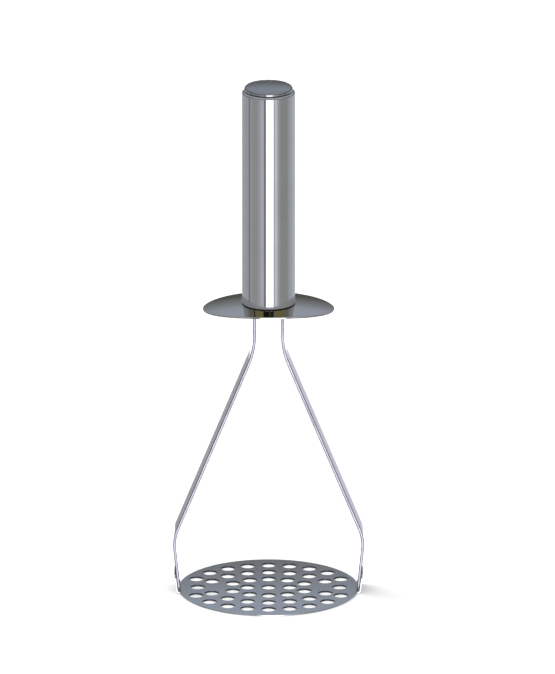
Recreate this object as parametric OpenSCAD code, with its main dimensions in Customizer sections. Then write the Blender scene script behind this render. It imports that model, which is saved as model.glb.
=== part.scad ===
// Potato masher in stainless steel, millimetres, +Z up.
// The origin is on the surface it stands on, under the handle's axis.
// X runs from leg to leg and Y from front to back.

/* [Mashing plate] */
// Diameter of the perforated plate
plate_d = 90; // [70:1:120]
// Thickness of the plate and its ears
plate_t = 0.8; // [0.6:0.1:2]
// Diameter of each perforation
hole_d = 7; // [4:0.1:8]
// Height of the ears' tips above the plate's underside
ear_top = 10; // [6:0.5:18]
// Inside radius of the bend between plate and ear
ear_bend_r = 1; // [0.5:0.1:2]

/* [Legs] */
// Width of the leg strap
strap_w = 15; // [11:0.5:20]
// Thickness of the leg strap
strap_t = 1.5; // [1:0.1:2.2]
// Clear width between the legs where they enter the handle
neck_gap = 12.6; // [11:0.1:16]
// Height of the knees, where the legs turn inwards
knee_z = 28.5; // [18:0.5:45]
// How far each knee stands out beyond its own foot
knee_out = 2.8; // [0:0.1:6]
// Bend radius of the knees, to the middle of the strap
knee_r = 20; // [5:1:40]
// Distance from the hand guard down to the neck bends
neck_drop = 22; // [10:0.5:35]
// Bend radius of the necks, to the middle of the strap
neck_r = 40; // [10:1:60]
// Width of the strap above its shoulders, inside the handle
tongue_w = 10; // [7:0.5:11]

/* [Hand guard] */
// Length of the oval guard, from leg to leg
guard_l = 65.5; // [50:0.5:90]
// Width of the oval guard, from front to back
guard_w = 44; // [34:0.5:60]
// Thickness of the guard
guard_t = 1; // [0.8:0.1:2]
// Height of the guard's underside
guard_z = 149; // [110:1:200]
// Radius of the guard's shallow dome around its flat seat
guard_dome_r = 160; // [100:5:400]

/* [Handle] */
// Outside diameter of the handle tube
tube_d = 26.6; // [22:0.1:36]
// Length of the handle tube
tube_l = 110; // [80:1:150]
// Wall thickness of the handle tube
tube_wall = 0.8; // [0.5:0.1:1.1]
// Outside radius of the tube's rounded top shoulder
shoulder_r = 1.2; // [1.2:0.1:2.5]
// Width of the flat lip that the end cap rests on
lip_w = 1.2; // [0.8:0.1:2]
// Height of the end cap above its seal
cap_h = 2.8; // [2:0.1:5]
// Radius of the end cap's rounded edge
cap_edge_r = 1.5; // [0.5:0.1:1.8]
// Radius of the end cap's shallow dome
cap_dome_r = 90; // [50:1:200]
// Depth of the end cap's spigot below its flange
spigot_h = 6; // [3:0.5:12]

/* [Inside the handle] */
// Diameter of the tie rod
rod_d = 6; // [4:0.5:6.5]
// Depth of the tie rod's seat in the end cap
rod_seat = 5; // [3:0.5:7]
// Length of the tie rod below the nut
rod_tail = 2; // [1:0.5:4]
// Height of the nut
nut_h = 5; // [3:0.5:7]
// Thickness of the lock washer
washer_t = 1.6; // [1:0.1:2.5]
// Radial width of the lock washer's ring
washer_w = 1.4; // [1:0.1:1.8]
// Width of the split in the lock washer
washer_split = 1; // [0.5:0.1:2]
// Height of the plug that centres the tube
plug_h = 8; // [4:0.5:15]
// Thickness of the seal under the tube
base_seal_t = 0.5; // [0.3:0.1:1.5]
// Thickness of the seal under the end cap
cap_seal_t = 0.3; // [0.2:0.1:1]

/* [Clearances] */
// Height of each foot above the bend of its ear
foot_gap = 0.3; // [0.1:0.1:1]
// Gap around the strap in its slots
slot_gap = 0.15; // [0.1:0.05:0.4]
// Gap between the nut and each leg
nut_gap = 0.3; // [0.1:0.05:0.5]
// Gap around the tie rod in the strap, the washer and the plug
rod_gap = 0.2; // [0.1:0.05:0.5]
// Gap between the tube and what slides into it
bore_gap = 0.1; // [0.05:0.05:0.3]
// Space between the plug and the nut
nut_clear = 4; // [3:0.5:8]
// Margin of the ear on each side of the strap
ear_margin = 0.5; // [0:0.1:1.5]
// Margin of the guard's flat seat around the tube
seat_margin = 1; // [0.5:0.5:4]

/* [Hidden] */
$fn = 96;
// Overshoot of cutting tools
over = 1;
// Steps of the bends and of the oval guard's outline in degrees
bend_step = 3;
oval_step = 3;
steel = "#aab0b8";
bright_steel = "#c3c7cc";
zinc = "#9a9c94";
rubber = "#24211f";
nylon = "#d9d6cc";

// Perforations, one row for each column of holes on a plate of pattern_d:
// distance from the middle, distance of the hole on the X axis (0 for the middle hole
// and -1 for none), then first offset, how far the first hole is set in, pitch, and holes
// on each side
pattern_d = 90;
hole_columns = [
    [0, 0, 13.2, 0, 11.2, 3],
    [10.5, 10.5, 11.4, 1, 11.4, 3],
    [20.4, -1, 6.1, 2.5, 12, 3],
    [29.5, -1, 9.7, 1.1, 13.6, 2],
    [36.2, 35.5, 13.3, 0, 0, 1]
];
pattern_scale = plate_d / pattern_d;

// Legs: middle line of the strap, from the foot up
foot_z = plate_t + ear_bend_r + foot_gap;
foot_x = plate_d / 2 - strap_t / 5;
knee_x = foot_x + knee_out;
neck_x = (neck_gap + strap_t) / 2;
neck_z = guard_z - neck_drop;
foot_lean = atan(knee_out / (knee_z - plate_t));
crown_in_r = 1.5;
crown_r = crown_in_r + strap_t / 2;

// Ears: middle line, outside the feet and parallel to them
ear_w = strap_w + 2 * ear_margin;
ear_off = (strap_t + plate_t) / 2 / cos(foot_lean);
ear_r = ear_bend_r + plate_t / 2;
ear_tongue = 8;

// Hand guard
seat_x = tube_d / 2 + seat_margin;
guard_top = guard_z + guard_t;
guard_rim_r = guard_l / 2 + over;
dome_steps = 6;
dome_radii = concat([0], [for (i = [0:dome_steps]) seat_x + (guard_rim_r - seat_x) * i / dome_steps]);

// Heights inside the handle, from the guard up
tube_z = guard_top + base_seal_t;
plug_top = tube_z + plug_h;
nut_z = plug_top + nut_clear;
washer_z = nut_z + nut_h;
crown_z = washer_z + washer_t;
tube_top = tube_z + tube_l;
cap_z = tube_top + cap_seal_t;

// Radii inside the handle
tube_r = tube_d / 2;
bore_r = tube_r - tube_wall;
cap_r = tube_r - shoulder_r;
lip_r = cap_r - lip_w;
spigot_r = lip_r - bore_gap;
rod_r = rod_d / 2;
nut_af = neck_gap - 2 * nut_gap;

function unit(v) = v / norm(v);
function left(v) = [-v.y, v.x];
function heading(v) = atan2(v.y, v.x);
function wrap(a) = a > 180 ? a - 360 : a < -180 ? a + 360 : a;
function flip(path) = [for (i = [len(path) - 1:-1:0]) [-path[i].x, path[i].y]];
function reverse(list) = [for (i = [len(list) - 1:-1:0]) list[i]];

// Turn at corner i of a path, positive to the left
function turn(path, i) =
    wrap(heading(path[i + 1] - path[i]) - heading(path[i] - path[i - 1]));

// Bend of radius r at corner i of a path, as points at the distance d to its left
function bend_points(path, i, r, d) =
    let (sweep = turn(path, i))
    let (along = unit(path[i] - path[i - 1]))
    let (outward = -sign(sweep) * left(along))
    let (centre = path[i] - r * tan(abs(sweep) / 2) * along - r * outward)
    let (steps = ceil(abs(sweep) / bend_step))
    [for (k = [0:steps])
        let (a = heading(outward) + sweep * k / steps)
        centre + (r - sign(sweep) * d) * [cos(a), sin(a)]];

// One side of a bent strip, at the distance d to the left of its middle line
function strip_side(path, radii, d) =
    let (last = len(path) - 1)
    concat(
        [path[0] + d * left(unit(path[1] - path[0]))],
        [for (i = [1:last - 1]) each bend_points(path, i, radii[i], d)],
        [path[last] + d * left(unit(path[last] - path[last - 1]))]
    );

// How far the guard's dome has fallen at a distance r from the middle
function dome_drop(r) = max(0, (pow(r, 2) - pow(seat_x, 2)) / 2 / guard_dome_r);

// Flat strip of thickness t along a path, with a bend at each inner corner
module strip(path, radii, t) {
    polygon(concat(strip_side(path, radii, t / 2), reverse(strip_side(path, radii, -t / 2))));
}

// Stands an XY outline up in the XZ plane, w wide about Y = 0
module stand_up(w) {
    rotate([90, 0, 0])
        translate([0, 0, -w / 2])
            linear_extrude(w) children();
}

// Half outline of a round column with a rounded top edge
module column_profile(r, h, edge_r) {
    square([r, h - edge_r]);
    square([r - edge_r, h]);
    translate([r - edge_r, h - edge_r]) intersection() {
        circle(edge_r);
        square(edge_r);
    }
}

// The two slots that the strap passes through, from height z up
module yoke_slots(z, h) {
    for (side = [-1, 1])
        translate([side * neck_x, 0, z + h / 2])
            cube([strap_t + 2 * slot_gap, tongue_w + 2 * slot_gap, h + 2 * over], center = true);
}

module perforations() {
    for (column = hole_columns, side = column[0] == 0 ? [1] : [-1, 1]) {
        paired = [for (i = [0:column[5] - 1], end = [-1, 1])
            [column[0] - (i == 0 ? column[3] : 0), end * (column[2] + i * column[4])]];
        for (hole = concat(column[1] < 0 ? [] : [[column[1], 0]], paired))
            translate([side * hole.x * pattern_scale, hole.y * pattern_scale, -over])
                cylinder(d = hole_d, h = plate_t + 2 * over, $fn = 32);
    }
}

// Upturned ear on the +X side, with the tongue that joins it to the plate
module ear() {
    corner_x = foot_x - tan(foot_lean) * plate_t / 2 + ear_off;
    tip = [corner_x + (ear_top - plate_t / 2) * tan(foot_lean), ear_top];
    stand_up(ear_w)
        strip([[corner_x - ear_tongue, plate_t / 2], [corner_x, plate_t / 2], tip],
            [0, ear_r, 0], plate_t);
}

// Perforated plate that stands on the table, with an ear for each leg
module mashing_plate() {
    color(steel) {
        difference() {
            union() {
                cylinder(d = plate_d, h = plate_t);
                ear();
                mirror([1, 0, 0]) ear();
            }
            perforations();
        }
    }
}

// One strap bent into both legs, with its crown inside the handle
module leg_yoke() {
    toe = [foot_x - plate_t * tan(foot_lean), 0];
    leg = [toe, [knee_x, knee_z], [neck_x, neck_z], [neck_x, crown_z + strap_t / 2]];
    radii = [0, knee_r, neck_r, crown_r];
    color(bright_steel) difference() {
        stand_up(strap_w) strip(concat(leg, flip(leg)), concat(radii, reverse(radii)), strap_t);
        translate([-plate_d, -strap_w, foot_z - plate_d])
            cube([2 * plate_d, 2 * strap_w, plate_d]);
        for (side = [0, 1]) mirror([0, side, 0])
            translate([-tube_r, tongue_w / 2, guard_z]) cube([2 * tube_r, strap_w, crown_z]);
        translate([0, 0, crown_z - over]) cylinder(r = rod_r + rod_gap, h = strap_t + 2 * over);
    }
}

// Oval guard, a shallow dome with a flat seat for the tube
module hand_guard() {
    top_line = [for (r = dome_radii) [r, guard_t - dome_drop(r)]];
    bottom_line = [for (r = dome_radii) [r, -dome_drop(r)]];
    depth = dome_drop(guard_rim_r) + over;
    color(steel) difference() {
        intersection() {
            translate([0, 0, guard_z])
                rotate_extrude() polygon(concat(top_line, reverse(bottom_line)));
            translate([0, 0, guard_z - depth])
                linear_extrude(depth + guard_t + over)
                    polygon([for (a = [0:oval_step:360 - oval_step])
                        [guard_l / 2 * cos(a), guard_w / 2 * sin(a)]]);
        }
        yoke_slots(guard_z, guard_t);
    }
}

// Flat rubber seal between the guard and the tube
module base_seal() {
    color(rubber) difference() {
        translate([0, 0, guard_top]) cylinder(r = tube_r, h = base_seal_t);
        yoke_slots(guard_top, base_seal_t);
        translate([0, 0, guard_top - over]) cylinder(r = rod_r + rod_gap, h = base_seal_t + 2 * over);
    }
}

// Slotted plug that centres the tube over the guard
module base_plug() {
    color(nylon) difference() {
        translate([0, 0, tube_z]) cylinder(r = bore_r - bore_gap, h = plug_h);
        yoke_slots(tube_z, plug_h);
        translate([0, 0, tube_z - over]) cylinder(r = rod_r + rod_gap, h = plug_h + 2 * over);
    }
}

// Hexagon nut held from turning by the strap on both sides
module yoke_nut() {
    color(zinc) difference() {
        translate([0, 0, nut_z])
            rotate(30) cylinder(d = nut_af / cos(30), h = nut_h, $fn = 6);
        translate([0, 0, nut_z - over]) cylinder(r = rod_r, h = nut_h + 2 * over);
    }
}

// Split washer between the nut and the strap's crown
module lock_washer() {
    washer_in = rod_r + rod_gap;
    color(zinc) translate([0, 0, washer_z]) difference() {
        cylinder(r = washer_in + washer_w, h = washer_t);
        translate([0, 0, -over]) cylinder(r = washer_in, h = washer_t + 2 * over);
        translate([0, -washer_split / 2, -over])
            cube([washer_in + washer_w + over, washer_split, washer_t + 2 * over]);
    }
}

// Rod from the end cap down through the crown to the nut
module tie_rod() {
    rod_z = nut_z - rod_tail;
    color(zinc) translate([0, 0, rod_z]) cylinder(r = rod_r, h = cap_z - spigot_h + rod_seat - rod_z);
}

// Handle tube with a rounded shoulder and a flat lip at the top
module handle_tube() {
    color(steel) translate([0, 0, tube_z]) difference() {
        rotate_extrude() column_profile(tube_r, tube_l, shoulder_r);
        rotate_extrude() translate([0, -over])
            column_profile(bore_r, tube_l - tube_wall + over, shoulder_r - tube_wall);
        cylinder(r = lip_r, h = tube_l + over);
    }
}

// Thin rubber seal between the tube's lip and the end cap
module cap_seal() {
    color(rubber) translate([0, 0, tube_top]) difference() {
        cylinder(r = cap_r, h = cap_seal_t);
        translate([0, 0, -over]) cylinder(r = lip_r, h = cap_seal_t + 2 * over);
    }
}

// Domed cap with a spigot inside the tube and a blind seat for the tie rod
module end_cap() {
    color(steel) translate([0, 0, cap_z]) difference() {
        rotate_extrude() {
            intersection() {
                column_profile(cap_r, cap_h, cap_edge_r);
                translate([0, cap_h - cap_dome_r]) circle(cap_dome_r, $fn = 360);
            }
            translate([0, -spigot_h]) square([spigot_r, spigot_h]);
        }
        translate([0, 0, -spigot_h - over]) cylinder(r = rod_r, h = rod_seat + over);
    }
}

mashing_plate();
leg_yoke();
hand_guard();
base_seal();
base_plug();
yoke_nut();
lock_washer();
tie_rod();
handle_tube();
cap_seal();
end_cap();
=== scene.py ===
"""Looks of the potato masher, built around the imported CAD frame. Metres, +Z up."""

import math

import bmesh
import bpy
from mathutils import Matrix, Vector, geometry


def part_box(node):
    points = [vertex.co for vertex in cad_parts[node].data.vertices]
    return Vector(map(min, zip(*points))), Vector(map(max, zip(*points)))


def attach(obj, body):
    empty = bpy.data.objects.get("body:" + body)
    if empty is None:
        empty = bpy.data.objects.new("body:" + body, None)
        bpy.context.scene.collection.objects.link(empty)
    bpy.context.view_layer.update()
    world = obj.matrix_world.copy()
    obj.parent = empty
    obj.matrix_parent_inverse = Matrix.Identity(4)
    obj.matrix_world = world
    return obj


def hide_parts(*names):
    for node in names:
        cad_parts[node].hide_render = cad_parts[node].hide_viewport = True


MM = 0.001
# Lengths in metres, shares of a line and areas below these count as nothing
TINY = 1e-9
TINY_SHARE = 1e-4
SAME_PLACE = 1e-7
WELD = 1e-8

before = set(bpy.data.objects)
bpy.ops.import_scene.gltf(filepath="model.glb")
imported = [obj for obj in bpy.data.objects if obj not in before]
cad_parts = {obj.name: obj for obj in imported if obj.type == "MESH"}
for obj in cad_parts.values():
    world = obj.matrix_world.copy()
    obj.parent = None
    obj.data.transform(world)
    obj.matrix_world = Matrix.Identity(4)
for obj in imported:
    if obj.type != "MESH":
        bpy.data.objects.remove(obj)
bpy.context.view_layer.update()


# ---------------------------------------------------------------- sheet metal

class MiddleLine:
    """Middle line of a bent sheet in the XZ plane, with a bend at each inner corner.

    A place on it is its developed length s, counted from the middle of the line.
    """

    def __init__(self, corners, radii):
        points = [Vector(c) for c in corners]
        self.runs = []
        start = points[0]
        for i in range(1, len(points) - 1):
            along = (points[i] - points[i - 1]).normalized()
            onward = (points[i + 1] - points[i]).normalized()
            sweep = math.atan2(along.cross(onward), along.dot(onward))
            setback = radii[i] * math.tan(abs(sweep) / 2)
            before = points[i] - along * setback
            self.runs.append((start, along, (before - start).length, 0.0))
            self.runs.append((before, along, radii[i] * abs(sweep), sweep))
            start = points[i] + onward * setback
        along = (points[-1] - points[-2]).normalized()
        self.runs.append((start, along, (points[-1] - start).length, 0.0))
        self.half = sum(run[2] for run in self.runs) / 2

    def at(self, s):
        """Point, direction and left-hand normal at s."""
        rest = s + self.half
        for number, (start, along, length, sweep) in enumerate(self.runs):
            if rest <= length or number == len(self.runs) - 1:
                break
            rest -= length
        normal = Vector((-along.y, along.x))
        if sweep == 0:
            return start + along * rest, along, normal
        side = math.copysign(1, sweep)
        turn = sweep * rest / length
        radius = length / abs(sweep)
        centre = start + normal * side * radius
        direction = along * math.cos(turn) + normal * math.sin(turn)
        left = normal * math.cos(turn) - along * math.sin(turn)
        return centre - left * side * radius, direction, left

    def place(self, spot):
        """Where a spot of the blank lies, and which way its X, its Y and its face point."""
        middle, along, left = self.at(spot.x)
        return (Vector((middle.x, spot.y, middle.y)), Vector((along.x, 0, along.y)),
                Vector((0, 1, 0)), Vector((left.x, 0, left.y)))

    def folds(self, step):
        """Places of the cross lines that the bends need, one each step of turn."""
        places = []
        s = -self.half
        for start, along, length, sweep in self.runs:
            if sweep:
                count = max(2, math.ceil(abs(sweep) / step))
                places += [s + length * k / count for k in range(count + 1)]
            s += length
        return places


class Dome:
    """Shallow dome round a flat seat, the middle of its sheet at height z on the seat."""

    def __init__(self, seat_r, dome_r, z):
        self.seat_r = seat_r
        self.dome_r = dome_r
        self.z = z

    def place(self, spot):
        """Where a spot of the blank lies, and which way its X, its Y and its face point."""
        r = spot.length
        x, y, face = Vector((1, 0, 0)), Vector((0, 1, 0)), Vector((0, 0, 1))
        if r <= self.seat_r:
            return Vector((spot.x, spot.y, self.z)), x, y, face
        drop = (r ** 2 - self.seat_r ** 2) / 2 / self.dome_r
        slope = Vector((spot.x, spot.y, 0)) / self.dome_r
        return Vector((spot.x, spot.y, self.z - drop)), x, y, (face + slope).normalized()

    def folds(self, step):
        """A dome needs no cross lines."""
        return []


def rounded(corners, radii, step=math.radians(11.25)):
    """Closed outline through the corners, with an arc of each corner's radius."""
    outline = []
    count = len(corners)
    for i in range(count):
        here = Vector(corners[i])
        along = (here - Vector(corners[i - 1])).normalized()
        onward = (Vector(corners[(i + 1) % count]) - here).normalized()
        sweep = math.atan2(along.cross(onward), along.dot(onward))
        radius = radii[i]
        if radius == 0:
            outline.append(here)
            continue
        side = math.copysign(1, sweep)
        normal = Vector((-along.y, along.x))
        start = here - along * radius * math.tan(abs(sweep) / 2)
        centre = start + normal * side * radius
        pieces = max(2, math.ceil(abs(sweep) / step))
        for k in range(pieces + 1):
            turn = sweep * k / pieces
            left = normal * math.cos(turn) - along * math.sin(turn)
            outline.append(centre - left * side * radius)
    return outline


def ring(x, y, radius, count):
    """Closed circle, clockwise, for a hole."""
    angles = [-math.tau * k / count for k in range(count)]
    return [Vector((x + radius * math.cos(a), y + radius * math.sin(a))) for a in angles]


def crossed(outline, places):
    """The outline with a point wherever it crosses one of the cross lines."""
    result = []
    for i, here in enumerate(outline):
        onward = outline[(i + 1) % len(outline)]
        result.append(here)
        span = onward.x - here.x
        if abs(span) < TINY:
            continue
        cuts = [(p - here.x) / span for p in places]
        for cut in sorted(c for c in cuts if TINY_SHARE < c < 1 - TINY_SHARE):
            result.append(here.lerp(onward, cut))
    return result


def outward(loop):
    """Normals of a loop, away from the metal on its left."""
    normals = []
    for i, here in enumerate(loop):
        back = (here - loop[i - 1]).normalized()
        on = (loop[(i + 1) % len(loop)] - here).normalized()
        along = back + on
        normals.append(Vector((along.y, -along.x)).normalized())
    return normals


def encloses(loop, x, y):
    """Whether the point lies inside the loop."""
    inside = False
    for i, b in enumerate(loop):
        a = loop[i - 1]
        if (a.y > y) != (b.y > y) and x < (b.x - a.x) * (y - a.y) / (b.y - a.y) + a.x:
            inside = not inside
    return inside


def make_mesh(name, points, normals, faces, raw=frozenset()):
    """Smooth mesh with its own normals. The faces numbered in raw take material 1."""
    mesh = bpy.data.meshes.new(name)
    mesh.from_pydata([tuple(p) for p in points], [], faces)
    for face in mesh.polygons:
        face.use_smooth = True
        face.material_index = 1 if face.index in raw else 0
    mesh.normals_split_custom_set_from_vertices([tuple(n) for n in normals])
    piece = bpy.data.objects.new(name, mesh)
    bpy.context.scene.collection.objects.link(piece)
    return piece


EDGE_TURNS = [math.radians(a) for a in (0, 30, 60, 90)]


def sheet_metal(name, shape, outline, holes, thickness, edge, fold_step=1.0,
                contours=(), crown=0.0, raw_from=math.inf):
    """Flat blank with rounded edges and holes, laid on a MiddleLine or a Dome.

    The outline, the holes and the contours, which give the faces more points, are in the
    blank. Crown is the slight doming of a level sheet, as the lean of its normals per
    metre from the middle. The walls of the holes are raw metal, and so is the rim
    further out along X than raw_from; they take the second material, which on the
    plate is also darkened near black as painted shade.
    """
    folds = shape.folds(fold_step)
    loops = [crossed(outline, folds)] + holes
    profile = [(edge * (1 - math.sin(a)), thickness / 2 - edge * (1 - math.cos(a)),
                math.sin(a), math.cos(a)) for a in EDGE_TURNS]
    profile += [(inset, -height, side, -up) for inset, height, side, up in reversed(profile)]
    layers = len(profile)

    points, normals, faces, flat = [], [], [], []
    first, raw = [], set()
    for loop in loops:
        base = len(points)
        first.append(base)
        away = outward(loop)
        for inset, height, side, up in profile:
            for here, normal in zip(loop, away):
                middle, x_way, y_way, face = shape.place(here - normal * inset)
                points.append(middle + face * height)
                facing = (x_way * normal.x + y_way * normal.y) * side + face * up
                lean = Vector((middle.x, middle.y, 0)) * crown * facing.z
                normals.append((facing + lean).normalized())
        count = len(loop)
        for layer in range(layers - 1):
            for k in range(count):
                a = base + layer * count + k
                b = base + layer * count + (k + 1) % count
                if base or abs(loop[k].x) > raw_from:
                    raw.add(len(faces))
                faces.append((a, a + count, b + count, b))
        inset = profile[0][0]
        flat.append([here - normal * inset for here, normal in zip(loop, away)])

    corners = [p for loop in flat for p in loop]
    top_index, bottom_index, constraints = [], [], []
    for base, loop in zip(first, flat):
        count = len(loop)
        start = len(top_index)
        constraints += [(start + k, start + (k + 1) % count) for k in range(count)]
        top_index += range(base, base + count)
        bottom_index += range(base + (layers - 1) * count, base + layers * count)
    for contour in contours:
        start, count = len(top_index), len(contour)
        constraints += [(start + k, start + (k + 1) % count) for k in range(count)]
        corners += contour
        for index, up in ((top_index, 1), (bottom_index, -1)):
            index += range(len(points), len(points) + count)
            for spot in contour:
                middle, _, _, face = shape.place(spot)
                points.append(middle + face * up * thickness / 2)
                normals.append(face * up)
    for fold in folds:
        on_line = [k for k, p in enumerate(loops[0]) if abs(p.x - fold) < SAME_PLACE]
        on_line.sort(key=lambda k: loops[0][k].y)
        constraints += list(zip(on_line[:-1], on_line[1:]))
    verts, _, triangles, origin, _, _ = geometry.delaunay_2d_cdt(
        corners, constraints, [], 0, WELD)
    source = [o[0] if o else None for o in origin]
    for triangle in triangles:
        if len(triangle) != 3 or any(source[k] is None for k in triangle):
            continue
        x = sum(verts[k].x for k in triangle) / 3
        y = sum(verts[k].y for k in triangle) / 3
        if not encloses(flat[0], x, y) or any(encloses(h, x, y) for h in flat[1:]):
            continue
        a, b, c = (source[k] for k in triangle)
        faces.append((top_index[a], top_index[b], top_index[c]))
        faces.append((bottom_index[c], bottom_index[b], bottom_index[a]))
    return make_mesh(name, points, normals, faces, raw)


# --------------------------------------------------------------- turned parts

def arc(x, z, radius, start, end, pieces=8):
    """Profile points round a centre, with outward normals. Angles are in degrees."""
    result = []
    for k in range(pieces + 1):
        a = math.radians(start + (end - start) * k / pieces)
        nx, nz = math.cos(a), math.sin(a)
        result.append((x + radius * nx, z + radius * nz, nx, nz))
    return result


def hollow_arc(x, z, radius, start, end, pieces=6):
    """As arc, for the inside of a hollow: the normals point at the centre."""
    return [(px, pz, -nx, -nz) for px, pz, nx, nz in arc(x, z, radius, start, end, pieces)]


def turned(name, profile, segments=144):
    """Solid of revolution about Z from a closed or axis-to-axis profile."""
    points, normals, faces, rings = [], [], [], []
    for x, z, nx, nz in profile:
        if x < TINY:
            rings.append([len(points)] * segments)
            points.append((0, 0, z))
            normals.append((0, 0, math.copysign(1, nz)))
            continue
        rings.append(list(range(len(points), len(points) + segments)))
        for k in range(segments):
            a = math.tau * k / segments
            points.append((x * math.cos(a), x * math.sin(a), z))
            normals.append(Vector((nx * math.cos(a), nx * math.sin(a), nz)).normalized())
    closed = profile[0][0] > TINY
    for i in range(len(rings) if closed else len(rings) - 1):
        low, high = rings[i], rings[(i + 1) % len(rings)]
        for k in range(segments):
            on = (k + 1) % segments
            corners = [low[k], low[on], high[on], high[k]]
            face = [c for j, c in enumerate(corners) if c != corners[j - 1]]
            if len(face) > 2:
                faces.append(face)
    return make_mesh(name, points, normals, faces)


# ------------------------------------------------------------------ materials

# Sockets of a colour Mix node
MIX_FACTOR, MIX_ONE, MIX_OTHER, MIX_RESULT = 0, 6, 7, 2


class Nodes:
    """Small helper for building a node tree."""

    def __init__(self, tree):
        self.tree = tree
        tree.nodes.clear()

    def add(self, kind, **settings):
        """New node, each setting being one of its properties or one of its inputs."""
        node = self.tree.nodes.new(kind)
        for key, value in settings.items():
            if hasattr(node, key):
                setattr(node, key, value)
            else:
                node.inputs[key.replace("_", " ")].default_value = value
        return node

    def link(self, output, target):
        self.tree.links.new(output, target)

    def noise(self, scale, stretch, detail, roughness=0.55):
        """Noise in the object's own space."""
        coordinates = self.add("ShaderNodeTexCoord")
        mapping = self.add("ShaderNodeMapping", Scale=stretch)
        noise = self.add("ShaderNodeTexNoise", Scale=scale, Detail=detail, Roughness=roughness)
        self.link(coordinates.outputs["Object"], mapping.inputs["Vector"])
        self.link(mapping.outputs["Vector"], noise.inputs["Vector"])
        return noise.outputs["Fac"]

    def spread(self, value, low, high):
        """The noise, most of which lies between 0.3 and 0.7, spread from low to high."""
        node = self.add("ShaderNodeMapRange")
        node.inputs["From Min"].default_value = 0.3
        node.inputs["From Max"].default_value = 0.7
        node.inputs["To Min"].default_value = low
        node.inputs["To Max"].default_value = high
        self.link(value, node.inputs["Value"])
        return node.outputs["Result"]

    def mixed(self, factor, one, other):
        """The first colour where the factor is 0, and the other where it is 1."""
        node = self.add("ShaderNodeMix", data_type="RGBA")
        self.link(factor, node.inputs[MIX_FACTOR])
        node.inputs[MIX_ONE].default_value = (*one, 1)
        node.inputs[MIX_OTHER].default_value = (*other, 1)
        return node.outputs[MIX_RESULT]


def new_material(name):
    """Empty material with its output, as (material, node helper, output)."""
    material = bpy.data.materials.new(name)
    material.use_nodes = True
    n = Nodes(material.node_tree)
    return material, n, n.add("ShaderNodeOutputMaterial")


# Stretches of a noise: even, or drawn out along X, Y or Z
ALL_WAYS = (1.0, 1.0, 1.0)
CLOUD_SCALE = 60.0
DULL_SPREAD = 0.08


def steel(name, colour, shade, roughness, spread, grain, grain_scale, depth):
    """Stainless steel: polishing lines along the grain, and cloudy wear in its gloss."""
    material, n, output = new_material(name)
    shader = n.add("ShaderNodeBsdfPrincipled", Metallic=1.0)
    lines = n.noise(grain_scale, grain, detail=4.0, roughness=0.6)
    clouds = n.noise(CLOUD_SCALE, ALL_WAYS, detail=2.0)
    fine = n.spread(lines, -spread, spread)
    wide = n.spread(clouds, roughness - spread / 2, roughness + spread / 2)
    total = n.add("ShaderNodeMath", operation="ADD", use_clamp=True)
    n.link(fine, total.inputs[0])
    n.link(wide, total.inputs[1])
    n.link(total.outputs[0], shader.inputs["Roughness"])
    n.link(n.mixed(n.spread(clouds, 0, 1), colour, shade), shader.inputs["Base Color"])
    bump = n.add("ShaderNodeBump", Strength=1.0, Distance=depth)
    n.link(lines, bump.inputs["Height"])
    n.link(bump.outputs["Normal"], shader.inputs["Normal"])
    n.link(shader.outputs["BSDF"], output.inputs["Surface"])
    return material


def dull(name, colour, shade, roughness, scale, depth, gloss=0.5):
    """Rubber, moulded plastic or paper with a fine matt texture."""
    material, n, output = new_material(name)
    shader = n.add("ShaderNodeBsdfPrincipled")
    shader.inputs["Specular IOR Level"].default_value = gloss
    texture = n.noise(scale, ALL_WAYS, detail=5.0)
    n.link(n.mixed(n.spread(texture, 0, 1), colour, shade), shader.inputs["Base Color"])
    n.link(n.spread(texture, roughness - DULL_SPREAD, roughness + DULL_SPREAD),
           shader.inputs["Roughness"])
    bump = n.add("ShaderNodeBump", Strength=0.6, Distance=depth)
    n.link(texture, bump.inputs["Height"])
    n.link(bump.outputs["Normal"], shader.inputs["Normal"])
    n.link(shader.outputs["BSDF"], output.inputs["Surface"])
    return material


def fit(piece, *materials):
    """Gives the piece these materials. Clearing resets the faces' material numbers."""
    if piece.data.materials:
        piece.data.materials.clear()
    for material in materials:
        piece.data.materials.append(material)


# Colour, its shade in the clouds, roughness, spread of the roughness, stretch of the
# grain, its scale, and the depth of its bumps in metres
STEELS = {
    "handle_steel": ((0.66, 0.67, 0.69), (0.62, 0.63, 0.65), 0.07, 0.03,
                     (1.0, 1.0, 0.02), 900.0, 0.000002),
    "guard_steel": ((0.60, 0.60, 0.60), (0.57, 0.57, 0.57), 0.05, 0.02,
                    ALL_WAYS, 700.0, 0.000001),
    "cap_steel": ((0.47, 0.485, 0.52), (0.44, 0.455, 0.48), 0.18, 0.03,
                  ALL_WAYS, 1200.0, 0.000002),
    "plate_steel": ((0.69, 0.71, 0.77), (0.65, 0.68, 0.70), 0.24, 0.03,
                    (1.0, 0.06, 1.0), 1400.0, 0.0000012),
    # Sheared walls of the plate's holes and the tips of its ears: dull raw metal, with its
    # colour darkened near black as painted shade
    "punched_steel_painted_shade": ((0.16, 0.16, 0.18), (0.10, 0.10, 0.12), 0.55, 0.10,
                      (1.0, 1.0, 0.1), 2500.0, 0.00001),
    "strap_steel": ((0.48, 0.47, 0.545), (0.455, 0.445, 0.515), 0.13, 0.03,
                    (1.0, 1.0, 0.05), 1000.0, 0.000001),
    "sheared_steel": ((0.47, 0.46, 0.54), (0.40, 0.39, 0.47), 0.34, 0.08,
                      (1.0, 1.0, 0.1), 2000.0, 0.000004),
    "fastener_zinc": ((0.55, 0.55, 0.50), (0.48, 0.49, 0.46), 0.35, 0.08,
                      ALL_WAYS, 1500.0, 0.00001),
}
MATERIALS = {name: steel(name, *look) for name, look in STEELS.items()}
MATERIALS["seal_rubber"] = dull("seal_rubber", (0.020, 0.016, 0.014), (0.035, 0.030, 0.027),
                                0.62, 1500.0, 0.00002)
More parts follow.
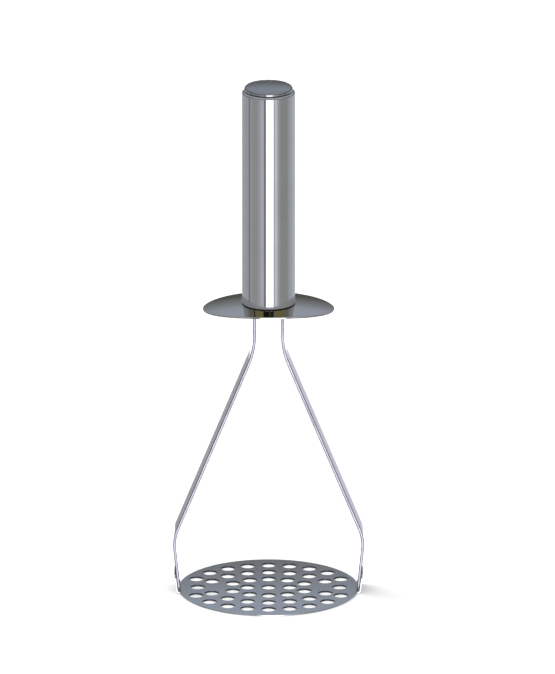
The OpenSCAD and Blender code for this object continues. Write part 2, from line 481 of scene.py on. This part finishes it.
MATERIALS["plug_nylon"] = dull("plug_nylon", (0.72, 0.70, 0.64), (0.66, 0.64, 0.58),
                               0.45, 900.0, 0.00002)


def stand_for(piece, node, slot, raw=None):
    """The piece rides with the masher and is shown in place of its CAD node.

    Raw names the material of its raw faces, where they have one of their own.
    """
    fit(piece, MATERIALS[slot], MATERIALS[raw or slot])
    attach(piece, "root")
    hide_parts(node)


# --------------------------------------------------------------------- pieces

tube_low, tube_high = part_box("handle_tube")
cap_low, cap_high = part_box("end_cap")
cap_seal_low, cap_seal_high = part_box("cap_seal")
guard_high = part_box("hand_guard")[1]
plate_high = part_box("mashing_plate")[1]
yoke_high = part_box("leg_yoke")[1]
plug_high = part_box("base_plug")[1]

TUBE_R = tube_high.y
CAP_R = cap_seal_high.y
SHOULDER_R = TUBE_R - CAP_R
BORE_GAP = 0.1 * MM
BORE_R = plug_high.y + BORE_GAP
WALL = TUBE_R - BORE_R
LIP_W = 1.2 * MM
LIP_R = CAP_R - LIP_W
TUBE_EDGE = 0.15 * MM
CAP_EDGE_R = 1.5 * MM
CAP_DOME_R = 90 * MM
CAP_DOME_STEPS = 12
CAP_NICK = 0.12 * MM
SEAL_EDGE = 0.08 * MM


def handle_tube():
    """Drawn tube, closed in at the top by a rounded shoulder and a flat lip."""
    edge = TUBE_EDGE
    low, high = tube_low.z, tube_high.z
    profile = arc(TUBE_R - edge, low + edge, edge, -90, 0, 4)
    profile += arc(TUBE_R - SHOULDER_R, high - SHOULDER_R, SHOULDER_R, 0, 90, 10)
    profile += arc(LIP_R + edge, high - edge, edge, 90, 180, 4)
    profile += arc(LIP_R + edge, high - WALL + edge, edge, 180, 270, 4)
    inner = SHOULDER_R - WALL
    profile += hollow_arc(BORE_R - inner, high - SHOULDER_R, inner, 90, 0)
    profile += [(BORE_R, low + edge, -1, 0)]
    profile += arc(BORE_R + edge, low + edge, edge, 180, 270, 4)
    piece = turned("tube_shell", profile, 192)
    stand_for(piece, "handle_tube", "handle_steel")


def end_cap():
    """Domed cap with a rolled edge, and a spigot that goes inside the tube."""
    edge_r, dome_r, nick = CAP_EDGE_R, CAP_DOME_R, CAP_NICK
    top = cap_high.z
    base = cap_seal_high.z
    edge_centre = CAP_R - edge_r
    dome_turn = math.asin(edge_centre / (dome_r - edge_r))
    edge_z = top - dome_r + (dome_r - edge_r) * math.cos(dome_turn)
    spigot_r = LIP_R - BORE_GAP
    profile = [(0, cap_low.z, 0, -1)]
    profile += arc(spigot_r - nick, cap_low.z + nick, nick, -90, 0, 3)
    profile += [(spigot_r, base, 1, 0), (spigot_r, base, 0, -1)]
    profile += arc(CAP_R - nick, base + nick, nick, -90, 0, 3)
    profile += arc(edge_centre, edge_z, edge_r, 0, 90 - math.degrees(dome_turn), 10)
    for k in range(1, CAP_DOME_STEPS + 1):
        turn = dome_turn * (1 - k / CAP_DOME_STEPS)
        profile.append((dome_r * math.sin(turn), top - dome_r * (1 - math.cos(turn)),
                        math.sin(turn), math.cos(turn)))
    piece = turned("cap_shell", profile)
    stand_for(piece, "end_cap", "cap_steel")


def seals():
    """Flat rubber seals under the tube and under the end cap."""
    low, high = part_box("base_seal")
    edge = SEAL_EDGE
    profile = [(0, low.z, 0, -1)]
    profile += arc(high.y - edge, low.z + edge, edge, -90, 0, 3)
    profile += arc(high.y - edge, high.z - edge, edge, 0, 90, 3)
    profile += [(0, high.z, 0, 1)]
    stand_for(turned("guard_gasket", profile, 96), "base_seal", "seal_rubber")
    low, high = cap_seal_low, cap_seal_high
    profile = arc(high.y - edge, low.z + edge, edge, -90, 0, 3)
    profile += arc(high.y - edge, high.z - edge, edge, 0, 90, 3)
    profile += [(LIP_R, high.z, -1, 0), (LIP_R, low.z, -1, 0)]
    stand_for(turned("cap_gasket", profile, 96), "cap_seal", "seal_rubber")


STRAP_T = 1.5 * MM
NECK_X = 7.05 * MM
SLOT_GAP = 0.15 * MM
SLOT_CORNER = 0.4 * MM
TONGUE_HALF = 5 * MM
GUARD_T = 1 * MM
GUARD_EDGE = 0.3 * MM
SEAT_MARGIN = 1 * MM
SEAT_R = TUBE_R + SEAT_MARGIN
SEAT_BEND = 0.5 * MM
GUARD_DOME_R = 160 * MM
OVAL_POINTS = 180
OVAL_SHARES = (0.3, 0.6, 0.85)


def slot_hole(x, y, half_x, half_y, radius):
    """Rounded rectangular hole, clockwise."""
    corners = [(x - half_x, y - half_y), (x - half_x, y + half_y),
               (x + half_x, y + half_y), (x + half_x, y - half_y)]
    return rounded(corners, [radius] * 4)


def hand_guard():
    """Polished oval guard, a shallow dome with a flat seat for the tube."""
    half_x, half_y = guard_high.x, guard_high.y
    angles = [math.tau * k / OVAL_POINTS for k in range(OVAL_POINTS)]
    bend_r = SEAT_R + SEAT_BEND
    ovals = [(half_x, half_y), (SEAT_R, SEAT_R), (bend_r, bend_r)]
    for share in OVAL_SHARES:
        ovals.append((SEAT_R + (half_x - SEAT_R) * share, SEAT_R + (half_y - SEAT_R) * share))
    outline, *contours = [[Vector((x * math.cos(a), y * math.sin(a))) for a in angles]
                          for x, y in ovals]
    slots = [slot_hole(side * NECK_X, 0, STRAP_T / 2 + SLOT_GAP, TONGUE_HALF + SLOT_GAP,
                       SLOT_CORNER) for side in (-1, 1)]
    dome = Dome(SEAT_R, GUARD_DOME_R, guard_high.z - GUARD_T / 2)
    piece = sheet_metal("guard_oval", dome, outline, slots, GUARD_T, GUARD_EDGE,
                        contours=contours)
    stand_for(piece, "hand_guard", "guard_steel")


PLATE_T = 0.8 * MM
KNEE_Z = 28.5 * MM
KNEE_OUT = 2.8 * MM
KNEE_R = 20 * MM
NECK_DROP = 22 * MM
NECK_R = 40 * MM
CROWN_R = 2.25 * MM
STRAP_EDGE = 0.5 * MM
STRAP_FOLD = math.radians(3)
ROD_HOLE_R = 3.2 * MM
ROD_HOLE_POINTS = 32
# Corners of the foot, of the shoulder, and between shoulder and tongue
STRAP_CORNERS = [0.4 * MM, 0.8 * MM, 1.5 * MM]
SHOULDER_STEP = 0.05 * MM
EAR_BEND_R = 1 * MM
FOOT_GAP = 0.3 * MM
FOOT_Z = PLATE_T + EAR_BEND_R + FOOT_GAP
PLATE_R = plate_high.y
FOOT_X = PLATE_R - STRAP_T / 5


def leg_yoke():
    """Flat strap bent into both legs, narrowed where it enters the handle."""
    lean = KNEE_OUT / (KNEE_Z - PLATE_T)
    toe = (FOOT_X + (FOOT_Z - PLATE_T) * lean, FOOT_Z)
    knee = (FOOT_X + KNEE_OUT, KNEE_Z)
    neck = (NECK_X, guard_high.z - GUARD_T - NECK_DROP)
    crown = (NECK_X, yoke_high.z - STRAP_T / 2)
    right = [crown, neck, knee, toe]
    left = [(-x, z) for x, z in reversed(right)]
    radii = [CROWN_R, NECK_R, KNEE_R, 0]
    line = MiddleLine(left + right, radii[::-1] + radii)
    half_w = yoke_high.y
    end = line.half
    shoulder = end
    while line.at(shoulder)[0].y < guard_high.z - GUARD_T:
        shoulder -= SHOULDER_STEP
    quarter = [(end, half_w), (shoulder, half_w), (shoulder, TONGUE_HALF)]
    corners = [(x, -y) for x, y in reversed(quarter)] + quarter
    corners += [(-x, y) for x, y in reversed(quarter)] + [(-x, -y) for x, y in quarter]
    outline = rounded(corners, (STRAP_CORNERS + STRAP_CORNERS[::-1]) * 2)
    holes = [ring(0, 0, ROD_HOLE_R, ROD_HOLE_POINTS)]
    piece = sheet_metal("leg_strap", line, outline, holes, STRAP_T, STRAP_EDGE, STRAP_FOLD,
                        raw_from=0)
    stand_for(piece, "leg_yoke", "strap_steel", "sheared_steel")


# Perforations, one row for each column of holes, in millimetres: distance from the middle,
# distance of the hole on the X axis (0 for the middle hole and -1 for none), then first
# offset, how far the first hole is set in, pitch, and holes on each side
HOLE_COLUMNS = [
    (0, 0, 13.2, 0, 11.2, 3),
    (10.5, 10.5, 11.4, 1, 11.4, 3),
    (20.4, -1, 6.1, 2.5, 12, 3),
    (29.5, -1, 9.7, 1.1, 13.6, 2),
    (36.2, 35.5, 13.3, 0, 0, 1),
]
HOLE_R = 3.5 * MM
HOLE_POINTS = 40
EAR_MARGIN = 0.5 * MM
EAR_CORNER = 2.5 * MM
# Length in from each ear's end over which its rim takes the dark punched steel: a raw edge,
# darkened as painted shade
EAR_SHADED_TIP = 0.3 * MM
RIM_POINTS = 240
PLATE_EDGE = 0.16 * MM
PLATE_FOLD = math.radians(6)
PLATE_CROWN = 1.6


def mashing_plate():
    """Perforated plate with an ear bent up for each leg, from one flat blank."""
    lean = math.atan(KNEE_OUT / (KNEE_Z - PLATE_T))
    corner_x = FOOT_X - math.tan(lean) * PLATE_T / 2
    corner_x += (STRAP_T + PLATE_T) / 2 / math.cos(lean)
    tip_z = plate_high.z - PLATE_T / 2 * math.sin(lean)
    tip = (corner_x + (tip_z - PLATE_T / 2) * math.tan(lean), tip_z)
    right = [(corner_x, PLATE_T / 2), tip]
    left = [(-x, z) for x, z in reversed(right)]
    bend = EAR_BEND_R + PLATE_T / 2
    line = MiddleLine(left + right, [0, bend, bend, 0])
    ear_half = yoke_high.y + EAR_MARGIN
    inner_x = math.sqrt(PLATE_R ** 2 - ear_half ** 2)
    tongue = rounded([(inner_x, -ear_half), (line.half, -ear_half),
                      (line.half, ear_half), (inner_x, ear_half)],
                     [0, EAR_CORNER, EAR_CORNER, 0])
    start = math.asin(ear_half / PLATE_R)
    span = math.pi - 2 * start
    count = RIM_POINTS // 2
    rim = []
    for k in range(1, count):
        a = start + span * k / count
        rim.append(Vector((PLATE_R * math.cos(a), PLATE_R * math.sin(a))))
    half = tongue + rim
    outline = half + [-p for p in half]
    holes = []
    for column_x, axis_x, first, inset, pitch, count in HOLE_COLUMNS:
        places = [(column_x - (inset if k == 0 else 0), end * (first + pitch * k))
                  for k in range(count) for end in (-1, 1)]
        if axis_x >= 0:
            places.append((axis_x, 0))
        for side in ((1,) if column_x == 0 else (-1, 1)):
            holes += [ring(side * x * MM, y * MM, HOLE_R, HOLE_POINTS) for x, y in places]
    # The walls of the holes and the tips of the ears take the punched steel, whose near-black
    # colour is painted shade
    piece = sheet_metal("perforated_plate", line, outline, holes, PLATE_T, PLATE_EDGE,
                        PLATE_FOLD, crown=PLATE_CROWN, raw_from=line.half - EAR_SHADED_TIP)
    stand_for(piece, "mashing_plate", "plate_steel", "punched_steel_painted_shade")


handle_tube()
end_cap()
seals()
hand_guard()
leg_yoke()
mashing_plate()
for node, slot in (("tie_rod", "fastener_zinc"), ("yoke_nut", "fastener_zinc"),
                   ("lock_washer", "fastener_zinc"), ("base_plug", "plug_nylon")):
    fit(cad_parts[node], MATERIALS[slot])


# ---------------------------------------------------------------------- stage

FLOOR_HALF = 9.0


def floor():
    """Pale floor, with a faint texture of its own."""
    mesh = bpy.data.meshes.new("floor")
    bm = bmesh.new()
    bmesh.ops.create_grid(bm, x_segments=12, y_segments=12, size=FLOOR_HALF)
    bm.to_mesh(mesh)
    bm.free()
    piece = bpy.data.objects.new("floor", mesh)
    bpy.context.scene.collection.objects.link(piece)
    fit(piece, dull("floor_paper", (0.93, 0.93, 0.93), (0.92, 0.92, 0.92),
                    0.7, 40.0, 0.00002, gloss=0.0))
    piece.visible_glossy = False


def ramp(n, value, stops):
    """Colour ramp over a value from 0 to 1, from (position, colour) stops."""
    node = n.add("ShaderNodeValToRGB")
    elements = node.color_ramp.elements
    while len(elements) < len(stops):
        elements.new(0.5)
    for element, (position, colour) in zip(elements, stops):
        element.position = position
        element.color = (*colour, 1)
    n.link(value, node.inputs["Fac"])
    return node.outputs["Color"]


def around(stops):
    """Ramp stops from (azimuth in degrees, colour), azimuth 0 being in front."""
    return [((azimuth + 180) / 360, colour) for azimuth, colour in stops]


def level(stops):
    """Ramp stops from (elevation in degrees, brightness and, where it has one, tint)."""
    return [(0.5 + math.sin(math.radians(elevation)) / 2, grey(*shade))
            for elevation, *shade in stops]


def math_node(n, operation, one, other):
    """Result of the operation on two values, each a number or a node's output."""
    node = n.add("ShaderNodeMath", operation=operation)
    for socket, value in zip(node.inputs, (one, other)):
        if isinstance(value, (int, float)):
            socket.default_value = value
        else:
            n.link(value, socket)
    return node.outputs[0]


def grey(value, tint=(1.0, 1.0, 1.0)):
    """Colour of this brightness, tinted."""
    return tuple(value * t for t in tint)


def blend(n, factor, one, other):
    """Colour of one where the factor is 0, and of the other where it is 1."""
    node = n.add("ShaderNodeMix", data_type="RGBA")
    for socket, value in ((MIX_FACTOR, factor), (MIX_ONE, one), (MIX_OTHER, other)):
        n.link(value, node.inputs[socket])
    return node.outputs[MIX_RESULT]


def multiplied(n, one, other):
    """Product of two colours."""
    node = n.add("ShaderNodeMix", data_type="RGBA", blend_type="MULTIPLY")
    node.inputs[MIX_FACTOR].default_value = 1.0
    n.link(one, node.inputs[MIX_ONE])
    n.link(other, node.inputs[MIX_OTHER])
    return node.outputs[MIX_RESULT]


def background(n, colour):
    """Background of a fixed colour or of a node's colour."""
    node = n.add("ShaderNodeBackground", Strength=1.0)
    if isinstance(colour, tuple):
        node.inputs["Color"].default_value = colour
    else:
        n.link(colour, node.inputs["Color"])
    return node.outputs[0]


def by_ray(n, kind, other, chosen):
    """One background for rays of that kind, and the other for the rest."""
    mix = n.add("ShaderNodeMixShader")
    n.link(kind, mix.inputs["Fac"])
    n.link(other, mix.inputs[1])
    n.link(chosen, mix.inputs[2])
    return mix.outputs[0]


# Tints of the panels
COOL, LILAC, WARM = (0.98, 1.0, 1.08), (1.0, 0.98, 1.09), (1.0, 1.015, 0.97)
GREEN, OLIVE = (0.98, 1.01, 0.99), (1.0, 0.87, 0.38)
DUSK, DAY, DAWN = (0.99, 1.0, 0.88), (0.94, 0.99, 1.06), (0.90, 0.98, 1.13)
WHITE = (2.6, 2.6, 2.6)

# Panels below the horizon, which upright surfaces mirror
LOW = [
    (-180, WHITE), (-172, WHITE), (-170, grey(0.26)), (-165, grey(0.50, COOL)),
    (-98, grey(0.44, COOL)), (-93, grey(0.24)), (-89, grey(0.26)), (-85, grey(0.43, GREEN)),
    (-66, grey(0.37, GREEN)), (-48, grey(0.39, GREEN)), (-26, grey(0.60, LILAC)),
    (-21, grey(0.58, LILAC)), (-19, grey(0.22)), (-11, grey(0.28)), (-9, WHITE),
    (19, WHITE), (22, grey(0.60, LILAC)), (26, grey(0.48, LILAC)), (30, grey(0.88, LILAC)),
    (35, grey(0.72, LILAC)), (44, grey(0.45)), (54, grey(0.35, WARM)),
    (86, grey(0.33, WARM)), (100, grey(0.44, COOL)), (144, grey(0.60, COOL)),
    (160, grey(0.50, COOL)), (172, grey(0.85, LILAC)), (174, WHITE), (180, WHITE),
]
# Walls above the horizon, which level surfaces mirror, and how they brighten upwards
WALL = [
    (-180, grey(0.40)), (-125, grey(0.42)), (-95, grey(0.30)), (-60, grey(0.46)),
    (0, grey(0.38)), (50, grey(0.46)), (95, grey(0.30)), (125, grey(0.42)),
    (180, grey(0.40)),
]
RISE = [
    (1, 0.22, DUSK), (9, 0.30, DUSK), (17, 0.70, DAY), (22, 1.06, DAWN),
    (28, 1.22, DAWN), (34, 1.1, DAWN), (50, 1.0, DAWN),
]
# Seen only in a reflection of a reflection, where tube and guard meet: the guard's image of
# the tube takes it from well above the horizon, and the tube's image of the guard from just
# above it
ABOVE = [
    (-120, grey(0.38)), (-96, grey(0.22)), (-72, grey(0.22, OLIVE)),
    (-70, grey(0.04, OLIVE)), (-65, grey(0.04, OLIVE)), (-63, grey(0.28, OLIVE)),
    (-26, grey(0.29, OLIVE)), (-22, grey(0.01)), (-8, grey(0.01)), (0, grey(0.02, OLIVE)),
    (8, grey(0.10, OLIVE)), (12, grey(0.02)), (22, grey(0.02)), (26, grey(0.28, OLIVE)),
    (70, grey(0.27, OLIVE)), (96, grey(0.22)), (120, grey(0.38)),
]
BESIDE = [
    (-110, grey(0.40, COOL)), (-70, grey(0.40, COOL)), (-55, grey(0.45, GREEN)),
    (-25, grey(0.48, GREEN)), (-14, grey(0.52, LILAC)), (22, grey(0.58, LILAC)),
    (32, grey(0.50, LILAC)), (50, grey(0.46, WARM)), (90, grey(0.42, WARM)),
    (110, grey(0.40, COOL)),
]
# Elevations over which one part of the studio passes into the next
HORIZON = [(-1, 0), (1, 1)]
CORNER = [(10, 0), (16, 1)]
OVERHEAD = [(35, 0), (55, 1)]
CEILING = (0.45, 0.45, 0.47, 1)
EVEN_LIGHT = (1.08, 1.08, 1.08, 1)
BACKDROP = (1.0, 1.0, 1.0, 1)


def studio():
    """Soft studio round the masher, which only metal mirrors.

    The camera sees a plain backdrop, and matt surfaces take an even light.
    """
    world = bpy.data.worlds.new("studio")
    bpy.context.scene.world = world
    world.use_nodes = True
    n = Nodes(world.node_tree)
    output = n.add("ShaderNodeOutputWorld")
    direction = n.add("ShaderNodeTexCoord").outputs["Generated"]
    split = n.add("ShaderNodeSeparateXYZ")
    n.link(direction, split.inputs[0])
    x, y, z = split.outputs
    back = math_node(n, "MULTIPLY", y, -1.0)
    azimuth = math_node(n, "ARCTAN2", x, back)
    place = math_node(n, "ADD", math_node(n, "DIVIDE", azimuth, math.tau), 0.5)
    height = math_node(n, "ADD", math_node(n, "MULTIPLY", z, 0.5), 0.5)

    low, wall, above, beside = (ramp(n, place, around(stops))
                                for stops in (LOW, WALL, ABOVE, BESIDE))
    rise, horizon, corner, overhead = (ramp(n, height, level(stops))
                                       for stops in (RISE, HORIZON, CORNER, OVERHEAD))
    path = n.add("ShaderNodeLightPath").outputs
    twice = math_node(n, "GREATER_THAN", path["Glossy Depth"], 1.5)
    high = blend(n, twice, multiplied(n, wall, rise), blend(n, corner, beside, above))
    ceiling = n.add("ShaderNodeRGB").outputs[0]
    ceiling.default_value = CEILING
    room = blend(n, overhead, blend(n, horizon, low, high), ceiling)
    lit = by_ray(n, path["Is Diffuse Ray"], background(n, room), background(n, EVEN_LIGHT))
    n.link(by_ray(n, path["Is Camera Ray"], lit, background(n, BACKDROP)),
           output.inputs["Surface"])


KEY_PLACE, KEY_AIM = (-0.9, 0.6, 1.9), (0, 0, 0.1)
KEY_SIZE, KEY_WATTS = 1.1, 15


def softbox(name, place, aim, size, watts):
    """Square area light that metal doesn't mirror."""
    light = bpy.data.lights.new(name, "AREA")
    light.shape = "SQUARE"
    light.size = size
    light.energy = watts
    box = bpy.data.objects.new(name, light)
    bpy.context.scene.collection.objects.link(box)
    box.location = place
    box.rotation_euler = (Vector(aim) - Vector(place)).to_track_quat("-Z", "Y").to_euler()
    box.visible_glossy = False


CAMERA_AIM = (4.45 * MM, 0, 132.1 * MM)
CAMERA_DISTANCE = 10
CAMERA_ELEVATION = math.radians(17.4)
CAMERA_LENS = 1070
CAMERA_SENSOR = 36
CAMERA_REACH = 100


def camera(aim):
    """Long lens, nearly level, straight in front."""
    data = bpy.data.cameras.new("camera")
    data.lens = CAMERA_LENS
    data.sensor_width = CAMERA_SENSOR
    data.clip_end = CAMERA_REACH
    eye = bpy.data.objects.new("camera", data)
    bpy.context.scene.collection.objects.link(eye)
    away = Vector((0, -math.cos(CAMERA_ELEVATION), math.sin(CAMERA_ELEVATION)))
    eye.location = aim + away * CAMERA_DISTANCE
    eye.rotation_euler = (-away).to_track_quat("-Z", "Y").to_euler()
    bpy.context.scene.camera = eye


floor()
studio()
softbox("key", KEY_PLACE, KEY_AIM, KEY_SIZE, KEY_WATTS)
camera(Vector(CAMERA_AIM))
bpy.context.scene.view_settings.view_transform = "Standard"
